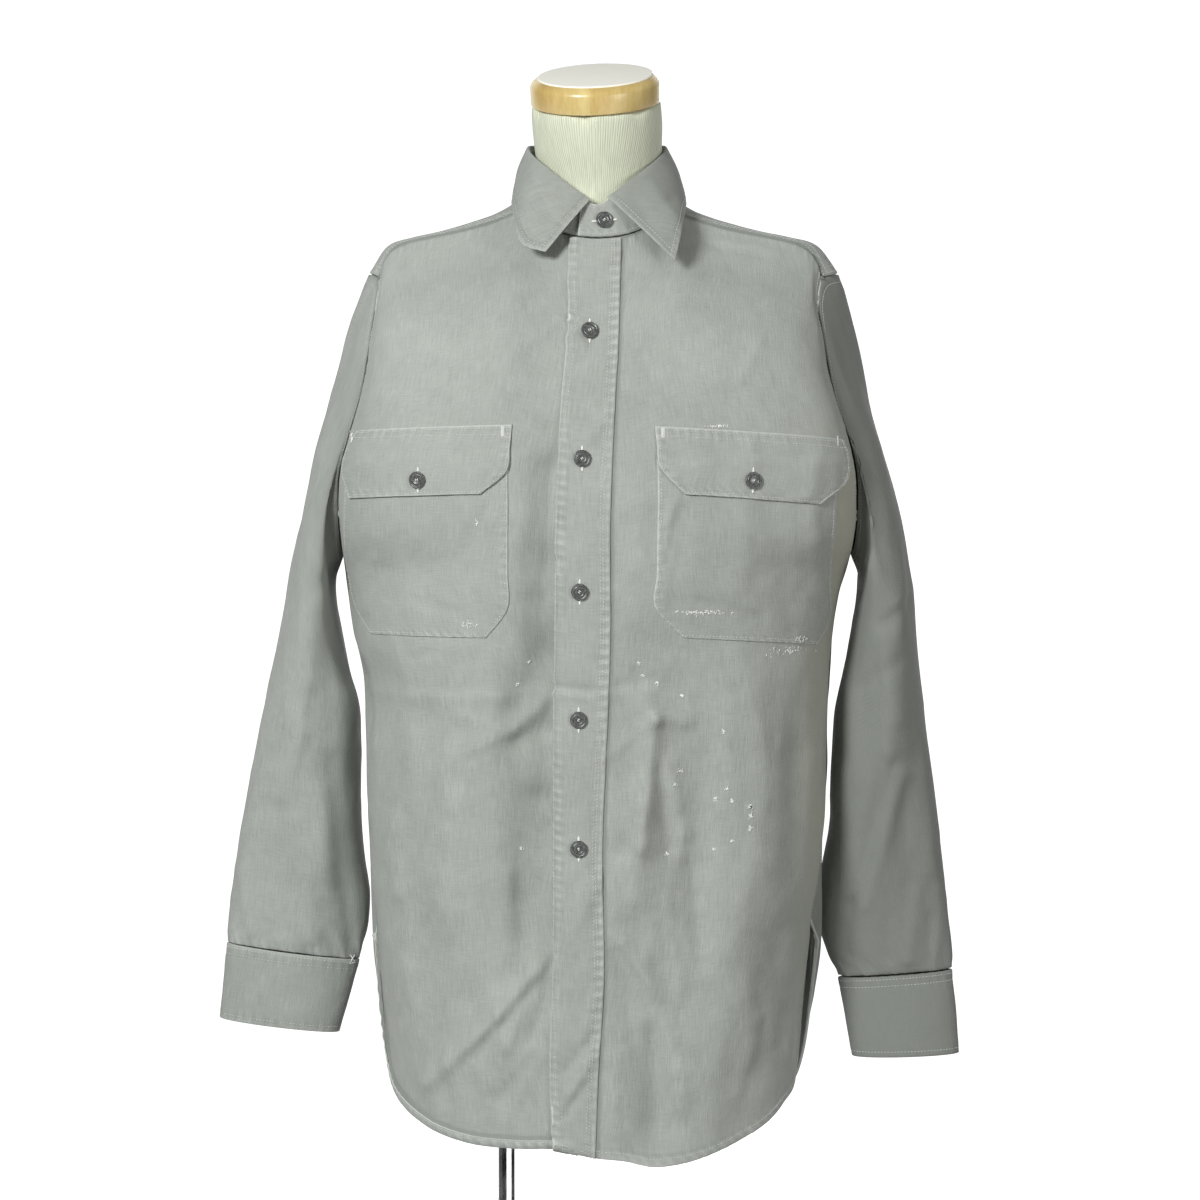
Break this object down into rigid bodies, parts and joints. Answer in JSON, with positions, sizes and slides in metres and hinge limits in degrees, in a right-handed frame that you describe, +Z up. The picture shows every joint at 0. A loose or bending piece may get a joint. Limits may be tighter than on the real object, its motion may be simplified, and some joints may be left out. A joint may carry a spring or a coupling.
{
  "type": "twill work shirt on a dress form",
  "caption": "Buttoned long-sleeved twill work shirt with two flap pockets, worn by a limbless dress form with a wood neck cap on a chrome pole and round base.",
  "frame": {"origin": "centre of the round base's underside, on the floor below the middle of the form", "axes": "+Z up along the form, -Y out of the shirt's front, +X to the right of someone facing that front"},
  "size_m": [0.6441, 0.38, 1.5415],
  "materials": {
    "twill": "washed sage grey cotton twill",
    "button": "dark grey moulded button",
    "linen": "cream ribbed linen",
    "wood": "clear varnished pale wood",
    "cap_cloth": "cream cloth disc",
    "chrome": "polished chrome"
  },
  "bodies": {
    "root": {"front_under": "twill", "front_over": "twill", "front_placket": "twill", "back": "twill", "yoke": "twill", "collar_stand": "twill", "collar_leaf": "twill", "sleeve_left": "twill", "sleeve_right": "twill", "cuff_left": "twill", "cuff_right": "twill", "pocket_left": "twill", "pocket_right": "twill", "flap_left": "twill", "flap_right": "twill", "button_front_1": "button", "button_front_2": "button", "button_front_3": "button", "button_front_4": "button", "button_front_5": "button", "button_collar": "button", "button_flap_left": "button", "button_flap_right": "button", "button_cuff_left": "button", "button_cuff_right": "button", "form": "linen", "neck_cap": "wood", "cap_disc": "cap_cloth", "pole": "chrome", "base": "chrome"}
  },
  "joints": []
}
